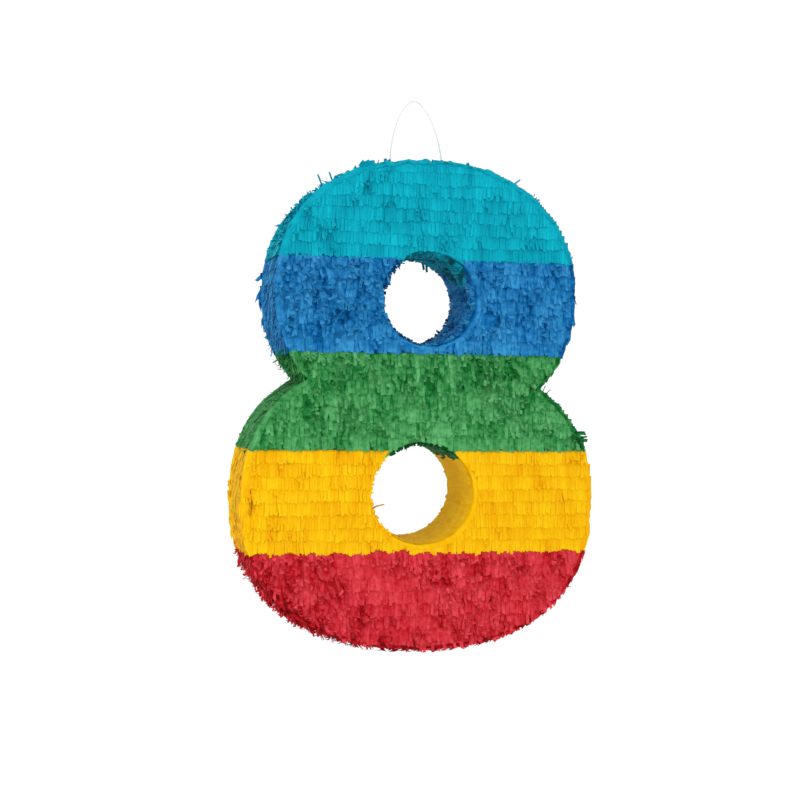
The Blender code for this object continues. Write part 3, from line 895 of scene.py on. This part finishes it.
def add_curls(sheets, rng, lobe, first, last, count, longest):
    """Curled ends of tissue that stick out along a stretch of the outline between two angles."""
    angle = rng.uniform(radians(first), radians(last), count)
    x, z, nx, nz = lobe.point(angle, SIDE_INSET)
    proud = 1.4 * side_proud(nx, nz)
    y = rng.uniform(-1, 1, count) * (PANEL_FACE - 0.002)
    down = vectors(nx, 0.0, nz) * rng.uniform(0.6, 1.0, count)[:, None]
    down += vectors(nz, 0.0, -nx) * rng.normal(0, 0.7, count)[:, None]
    down[:, 2] -= 0.45 * (1 - limited(1.3 * nz))
    down = unit(down)
    flat = unit(np.cross(down, (0.0, 1.0, 0.0)))
    out = turned(flat, np.cross(flat, down), rng.uniform(-1.3, 1.3, count))
    add_ends(sheets, rng, vectors(x + nx * proud, y, z + nz * proud), down, out,
             (0.0022, 0.0042), 0.003, 0.5, longest, (0.7, 1.0), (0.15, 0.15), 0.006)


def add_rim_tufts(sheets, rng, hole, first, last, count, longest, y, tone):
    """Ragged ends that point into a hole from its rim."""
    angle = rng.uniform(radians(first), radians(last), count)
    x, z, nx, nz = hole.point(angle, -0.0006)
    down = vectors(-nx, rng.normal(0, 0.25, count), -nz - 0.25)
    down += vectors(-nz, 0.0, nx) * rng.normal(0, 0.6, count)[:, None]
    down = unit(down)
    out = np.cross(down, vectors(nz, 0.0, -nx)) + 0.5 * rng.normal(size=(count, 3))
    out = unit(out - down * (out * down).sum(1)[:, None])
    add_ends(sheets, rng, vectors(x, y + rng.normal(0, 0.0008, count), z), down, out,
             (0.0024, 0.0046), 0.0015, 0.35, longest, (0.4, 0.9), (tone, 0.12), 0.004)


def add_loose_ends(sheets, node):
    rng = np.random.default_rng([SEED, 70, len(node)])
    for stray in STRAYS.get(node, ()):
        add_stray(sheets, rng, stray)
    for curls in CURLS.get(node, ()):
        add_curls(sheets, rng, *curls)
    for tufts in RIM_TUFTS.get(node, ()):
        add_rim_tufts(sheets, rng, *tufts)


# ---- linings of the holes

LIP = 0.0085
SLEEVE_OUT = 0.0007
LINING_ROWS = 8


@dataclass
class Lining:
    """The two colours of tissue in one hole, below and above. The one above spans the sleeve angles inside
    the hole and the lip angles where it turns over onto the faces. painted_light_shift lifts the tone of the
    fringe inside as painted light or, below zero, lowers it as painted shade; shade_above deepens the tissue
    above with painted shade."""

    label: str
    hole: Oval
    below: str
    above: str
    ruffle: float
    stand: float
    painted_light_shift: float
    shade_above: float
    sleeve: tuple
    lips: tuple
    rim_shade: float


LININGS = (
    Lining("upper", UPPER_HOLE, "blue", "turquoise", 0.55, 0.0036, -0.08, 0.30, (24, 156), (50, 132), 0.6),
    Lining("lower", LOWER_HOLE, "yellow", "green", 0.10, 0.0030, 0.25, 1.00, (46, 134), (50, 138), 0.0),
)


def from_rims(y):
    """0 at the two rims of a hole, rising to 1 well inside it."""
    return limited((PANEL_FACE - np.abs(y)) / 0.030)


def lining_sleeve(rng, hole, start, end, lip_start, lip_end, inset, rim_shade):
    """Smooth tissue pasted through a hole between two angles and turned over onto both faces, where its lips
    may span other angles. rim_shade: how much deeper it is where it bends."""
    face = PANEL_FACE + 0.0019
    lip = [(LIP, -face + 0.0010), (LIP * 0.72, -face + 0.0001), (LIP * 0.45, -face - 0.0003),
           (0.0018, -face - 0.0002), (0.0005, -face + 0.0007)]
    wall = [(0.0, depth * (face - 0.003)) for depth in np.linspace(-1, 1, 26)]
    reach, y = np.array(lip + wall + [(r, -y) for r, y in lip[::-1]]).T
    on_lip = limited(reach / LIP * 1.6)
    first = start + (lip_start - start) * (1 - from_rims(y))
    last = end + (lip_end - end) * (1 - from_rims(y))
    if end - start < 2 * pi - 0.01:
        first = first + np.radians(rng.normal(0, 1.2, len(y)))
        last = last + np.radians(rng.normal(0, 1.2, len(y)))
    angle = first + (last - first) * np.linspace(0, 1, 220)[:, None]
    place = vectors(hole.a * np.cos(angle), y, hole.a * np.sin(angle))
    bump = smooth_field(rng, 0.009)(place * (1.0, 0.2, 1.0)) + smooth_field(rng, 0.02)(place)
    bump *= 0.00012
    ragged = 1 + 0.12 * smooth_field(rng, 0.010)(place) * (reach > LIP * 0.9)
    width = (ring_width(hole, angle) + 0.0030) / LIP
    radial = reach * width * ragged - inset + (SLEEVE_OUT + bump) * (1 - on_lip)
    grid = vectors(hole.x + (hole.a + radial) * np.cos(angle), y + np.sign(y) * (bump + inset) * on_lip,
                   hole.z + (hole.b + radial) * np.sin(angle))
    at_bend = np.exp(-(reach / 0.0026) ** 2) * np.exp(-(PANEL_FACE - np.abs(y)).clip(0) / 0.004)
    # painted shade: the sleeve is deeper inside the hole than on its lips, and deeper still where it bends at
    # the rims
    tone = 0.45 + 0.20 * on_lip + 0.15 * smooth_field(rng, 0.022)(place) - rim_shade * at_bend
    sheets = Sheets()
    sheets.add(grid[None], vectors(angle * hole.a, y, tone)[None])
    return sheets


def lining_rows(rng, lining, sleeve, lips, cap, ring):
    """Rows of fringe through a hole, their tabs pointing to the back. Those between the angles of the
    sleeve, and of the lips at the rims, go to the cap, and the rest to the ring."""
    hole = lining.hole
    front = -PANEL_FACE + 0.001
    pitch = (PANEL_FACE + 0.0030 - front) / LINING_ROWS
    radius = (hole.a + hole.b) / 2
    for row in range(LINING_ROWS):
        place, width = tab_columns(rng, 0.0, 2 * pi * radius)
        angle = place / radius
        count = len(angle)
        tip = np.full(count, front + pitch * (row + 1) + rng.normal(0, 0.0005))
        if row == LINING_ROWS - 1:
            tip += rng.uniform(-0.0010, 0.0016, count)
        slit_y = np.maximum(tip - FREE_LENGTH, front)
        header = np.clip(slit_y - front, 0.0, HEADER)
        c, s = np.cos(angle), np.sin(angle)
        slit = vectors(hole.x + (hole.a + SLEEVE_OUT) * c, slit_y, hole.z + (hole.b + SLEEVE_OUT) * s)
        out = -unit(vectors(c / hole.a, 0.0, s / hole.b))
        down = np.tile((0.0, 1.0, 0.0), (count, 1))
        calm = 0.45 if row >= LINING_ROWS - 2 else 1.0
        tousle = calm * lining.ruffle * (1 + 0.5 * TOUSLE_FIELD(slit)) + rng.normal(0, 0.03, count)
        tousle = limited(tousle)
        # a positive shift is painted light against the shade of the hole, a negative one painted shade
        tone = tone_at(slit, rng, tousle) + lining.painted_light_shift
        tone += 0.8 * lining.ruffle * TONE_FIELD(slit * 1.6)
        edge = angle + np.radians(rng.normal(0, 2.0, count))
        first, last = (lips[end] + (sleeve[end] - lips[end]) * from_rims(tip) for end in (0, 1))
        in_cap = (edge > first) & (edge < last)
        tabs = Tabs(slit, down, out, width, header, tip - slit_y, tousle, place + 0.37 * row)
        for sheets, chosen, shade in ((cap, in_cap, lining.shade_above), (ring, ~in_cap, 0.0)):
            hang_plies(sheets, rng, tabs.chosen(chosen), tone[chosen] - shade, 0.0005, lining.stand, 0.0001)


def build_linings():
    overlap = radians(3)
    around = 2 * pi
    for lining in LININGS:
        sleeve, lips = np.radians((lining.sleeve, lining.lips))
        rng = np.random.default_rng([SEED, 50, len(lining.below)])
        ring = lining_sleeve(rng, lining.hole, sleeve[1] - overlap, around + sleeve[0] + overlap,
                             lips[1] - overlap, around + lips[0] + overlap, 0.0, lining.rim_shade)
        cap = lining_sleeve(rng, lining.hole, *sleeve, *lips, 0.0003, 0.9)
        lining_rows(rng, lining, sleeve, lips, cap, ring)
        for sheets, band in ((ring, lining.below), (cap, lining.above)):
            node = f"{lining.label}_hole_lining_{band}"
            add_loose_ends(sheets, node)
            sheets.build(node, band)


# ---- cord

CORD_POINTS = 400
CORD_TWISTS = 30
STRAND_OFFSET = 0.00048
STRAND_RADIUS = 0.00058


def cord_strand(name, points, phase):
    """One of two strands twisted round a line of points."""
    tangent = unit(np.gradient(points, axis=0))
    side = np.array((0.0, 1.0, 0.0))
    length = np.concatenate([[0], np.cumsum(np.linalg.norm(np.diff(points, axis=0), axis=1))])
    angle = phase + CORD_TWISTS * 2 * pi * length / length[-1]
    strand = points + STRAND_OFFSET * turned(side, np.cross(tangent, side), angle)
    curve = bpy.data.curves.new(name, "CURVE")
    curve.dimensions = "3D"
    curve.bevel_depth = STRAND_RADIUS
    curve.bevel_resolution = 2
    curve.use_fill_caps = True
    spline = curve.splines.new("POLY")
    spline.points.add(len(strand) - 1)
    spline.points.foreach_set("co", np.column_stack([strand, np.ones(len(strand))]).ravel())
    curve.materials.append(CORD)
    piece = new_object(name, curve)
    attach(piece, "loop")
    return piece


def build_cord():
    """The loop above the crown, as the frame's arch, in two twisted strands."""
    low, high = box_of("hanging_loop")
    radius = 0.0011
    foot_inset = 0.0013
    base_z = low[2] + foot_inset
    foot_left, foot_right = low[0] + foot_inset, high[0] - foot_inset
    height = high[2] - radius - base_z
    lean = -0.005
    squareness = 1.75
    angle = np.linspace(pi, 0, CORD_POINTS)
    rise = limited(np.sin(angle)) ** (2 / squareness)
    across = signed_power(np.cos(angle), 2 / squareness)
    x = (foot_left + foot_right) / 2 + (foot_right - foot_left) / 2 * across + lean * rise
    points = vectors(x, 0.0, base_z + height * rise)
    first = cord_strand("cord_loop_strand_a", points, 0.0)
    cord_strand("cord_loop_strand_b", points, pi)
    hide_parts("hanging_loop")


# ---- materials

class Recipe:
    """A material being put together from nodes."""

    def __init__(self, name):
        self.material = bpy.data.materials.new(name)
        self.material.use_nodes = True
        self.nodes = self.material.node_tree.nodes
        self.shader = self.nodes["Principled BSDF"]

    def feed(self, node, inputs):
        """Sets inputs of a node. Each gets a number, a colour or the output of another node."""
        for name, value in inputs.items():
            if isinstance(value, bpy.types.NodeSocket):
                self.material.node_tree.links.new(value, node.inputs[name])
            else:
                node.inputs[name].default_value = value

    def put(self, kind, inputs):
        node = self.nodes.new("ShaderNode" + kind)
        self.feed(node, inputs)
        return node

    def noise(self, place, scale, detail, stretch=(1.0, 1.0, 1.0)):
        """Noise read at a place, finer with a larger scale, as an output from 0 to 1."""
        shape = self.put("VectorMath", {0: place, 1: stretch})
        shape.operation = "MULTIPLY"
        texture = self.put("TexNoise", {"Vector": shape.outputs[0], "Scale": scale, "Detail": detail})
        return texture.outputs["Fac"]

    def scaled(self, value, low, high):
        """The value, from 0 to 1, moved to lie from low to high."""
        node = self.put("MapRange", {"Value": value, "To Min": low, "To Max": high})
        node.clamp = False
        return node.outputs["Result"]

    def sum(self, first, *others):
        for other in others:
            node = self.put("Math", {0: first, 1: other})
            node.operation = "ADD"
            first = node.outputs[0]
        return first

    def blend(self, share, low_colour, high_colour, shaded_colour=None):
        """From the low colour at 0 to the high one at 1, and to the shaded one, if any, at -0.5."""
        node = self.nodes.new("ShaderNodeValToRGB")
        node.color_ramp.elements[0].color = (*low_colour, 1)
        node.color_ramp.elements[1].color = (*high_colour, 1)
        if shaded_colour:
            node.color_ramp.elements[0].position = 1 / 3
            node.color_ramp.elements.new(0.0).color = (*shaded_colour, 1)
            share = self.scaled(share, 1 / 3, 1.0)
        self.feed(node, {"Fac": share})
        return node.outputs["Color"]

    def bump(self, height, distance, strength, **under):
        """Relief of the surface, over that of another bump where its Normal is given."""
        node = self.put("Bump", {"Height": height, "Distance": distance, "Strength": strength, **under})
        self.feed(self.shader, {"Normal": node.outputs["Normal"]})
        return node.outputs["Normal"]

    def finish(self, colour, roughness, shine):
        self.feed(self.shader, {"Base Color": colour, "Roughness": roughness, "Specular IOR Level": shine})

    def object_place(self):
        return self.nodes.new("ShaderNodeTexCoord").outputs["Object"]


def tissue_material(band):
    """Thin dyed tissue: deep to pale by tab and patch, with painted sheen in the pale colour and painted
    shade in the shaded colour of the lowest tones, fine streaks along each tab, soft creases, hardly any
    shine and some light coming through."""
    finish = FINISH[band]
    recipe = Recipe("tissue_" + band)
    paper = recipe.nodes.new("ShaderNodeAttribute")
    paper.attribute_name = "paper"
    place = paper.outputs["Vector"]
    tab_tone = recipe.put("SeparateXYZ", {0: place}).outputs["Z"]
    streaks = recipe.noise(place, 1.0, 3.0, (560.0, 60.0, 3.0))
    creases = recipe.noise(recipe.object_place(), 420.0, 4.0)
    mottle = recipe.noise(recipe.object_place(), 170.0, 2.0)
    tone = tab_tone
    streaking = 0.48 - 0.50 * finish.ruffle
    for pattern, strength in ((streaks, streaking), (creases, 0.15), (mottle, finish.mottle)):
        tone = recipe.sum(tone, recipe.scaled(pattern, -strength, strength))
    shaded = [0.35 * channel for channel in finish.deep]
    colour = recipe.blend(tone, finish.deep, finish.pale, shaded)
    recipe.finish(colour, recipe.scaled(creases, 0.55, 0.80), 0.05)
    soft = recipe.bump(creases, 0.0006, 0.5)
    recipe.bump(streaks, 0.0003, 0.5, Normal=soft)
    through = recipe.put("BsdfTranslucent", {"Color": colour})
    mix = recipe.put("MixShader", {"Fac": 0.20, 1: recipe.shader.outputs[0], 2: through.outputs[0]})
    recipe.feed(recipe.nodes["Material Output"], {"Surface": mix.outputs[0]})
    return recipe.material


def board_material():
    """Plain brown corrugated board: paper fibres and the flutes showing faintly through the liner."""
    recipe = Recipe("corrugated_board")
    place = recipe.object_place()
    fibres = recipe.noise(place, 260.0, 6.0)
    patches = recipe.noise(place, 22.0, 2.0)
    wave = recipe.put("TexWave", {"Vector": place, "Scale": 48.0, "Distortion": 0.3})
    wave.bands_direction = "X"
    flutes = wave.outputs["Fac"]
    tone = recipe.sum(recipe.scaled(fibres, 0.0, 0.7), recipe.scaled(patches, -0.1, 0.2),
                      recipe.scaled(flutes, 0.0, 0.12))
    colour = recipe.blend(tone, (0.300, 0.185, 0.095), (0.540, 0.375, 0.225))
    recipe.finish(colour, recipe.scaled(fibres, 0.78, 0.95), 0.25)
    soft = recipe.bump(flutes, 0.0004, 0.6)
    recipe.bump(fibres, 0.0003, 0.4, Normal=soft)
    return recipe.material


def cord_material():
    """Thin white cord: slightly shiny fibres."""
    recipe = Recipe("white_cord")
    fibres = recipe.noise(recipe.object_place(), 2600.0, 3.0)
    colour = recipe.blend(fibres, (0.58, 0.58, 0.58), (0.84, 0.84, 0.83))
    recipe.finish(colour, recipe.scaled(fibres, 0.30, 0.55), 0.5)
    recipe.bump(fibres, 0.0002, 0.5)
    return recipe.material


def floor_material():
    """A matt, nearly white studio sweep."""
    recipe = Recipe("pale_floor")
    mottle = recipe.noise(recipe.object_place(), 3.0, 2.0)
    recipe.finish(recipe.blend(mottle, (0.955, 0.955, 0.955), (0.975, 0.975, 0.975)), 1.0, 0.0)
    return recipe.material


MATERIALS = {band: tissue_material(band) for band in BANDS}
BOARD = board_material()
CORD = cord_material()


# ---- studio

def studio():
    world = bpy.data.worlds.new("studio")
    bpy.context.scene.world = world
    world.use_nodes = True
    background = world.node_tree.nodes["Background"]
    background.inputs["Color"].default_value = (1.0, 1.0, 1.0, 1.0)
    background.inputs["Strength"].default_value = 1.0
    middle = Vector((0.0, 0.0, 0.28))
    for name, place, size, power in (
        ("key", (-0.9, -2.0, 2.2), 1.4, 20.0),
        ("fill", (1.8, -1.6, 0.9), 1.6, 6.5),
        ("side", (-1.7, -1.3, 0.2), 1.2, 10.0),
    ):
        lamp = bpy.data.lights.new(name, "AREA")
        lamp.size = size
        lamp.energy = power
        light = new_object(name, lamp)
        light.location = place
        light.rotation_euler = (middle - Vector(place)).to_track_quat("-Z", "Y").to_euler()


def backdrop():
    """A pale floor that curves up into a wall, far enough below the hanging figure to take its shadow."""
    floor_z = -0.45
    near, far, side, bend = -4.0, 3.0, 4.0, 1.0
    top = 4.0
    steps = 12
    profile = [(near, floor_z)]
    for step in range(steps + 1):
        angle = pi / 2 * step / steps
        profile.append((far - bend + bend * sin(angle), floor_z + bend - bend * cos(angle)))
    profile.append((far, top))
    points = [(x, y, z) for y, z in profile for x in (-side, side)]
    faces = [(2 * i, 2 * i + 1, 2 * i + 3, 2 * i + 2) for i in range(len(profile) - 1)]
    mesh = bpy.data.meshes.new("backdrop")
    mesh.from_pydata(points, [], faces)
    mesh.shade_smooth()
    mesh.materials.append(floor_material())
    new_object("backdrop", mesh)


def camera():
    yaw, roll = radians(13.6), radians(2.2)
    target = Vector((-0.0146, 0.0, 0.2776))
    distance = 1.752
    ahead = Vector((sin(yaw), cos(yaw), 0.0))
    side = Vector((cos(yaw), -sin(yaw), 0.0))
    up = Vector((0.0, 0.0, 1.0))
    right = side * cos(roll) + up * sin(roll)
    top = up * cos(roll) - side * sin(roll)
    turn = Matrix((right, top, -ahead)).transposed()
    lens = bpy.data.cameras.new("photo_view")
    lens.lens = 68.6
    lens.sensor_width = 36.0
    view = new_object("photo_view", lens)
    view.matrix_world = Matrix.Translation(target - ahead * distance) @ turn.to_4x4()
    bpy.context.scene.camera = view


# ---- build

bpy.context.scene.view_settings.view_transform = "Standard"
studio()
backdrop()
camera()
build_faces()
build_sides()
build_linings()
build_cord()
for node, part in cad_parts.items():
    if "fringe" not in node and "lining" not in node:
        part.data.materials.clear()
        part.data.materials.append(CORD if node in ("hanging_loop", "loop_tie") else BOARD)
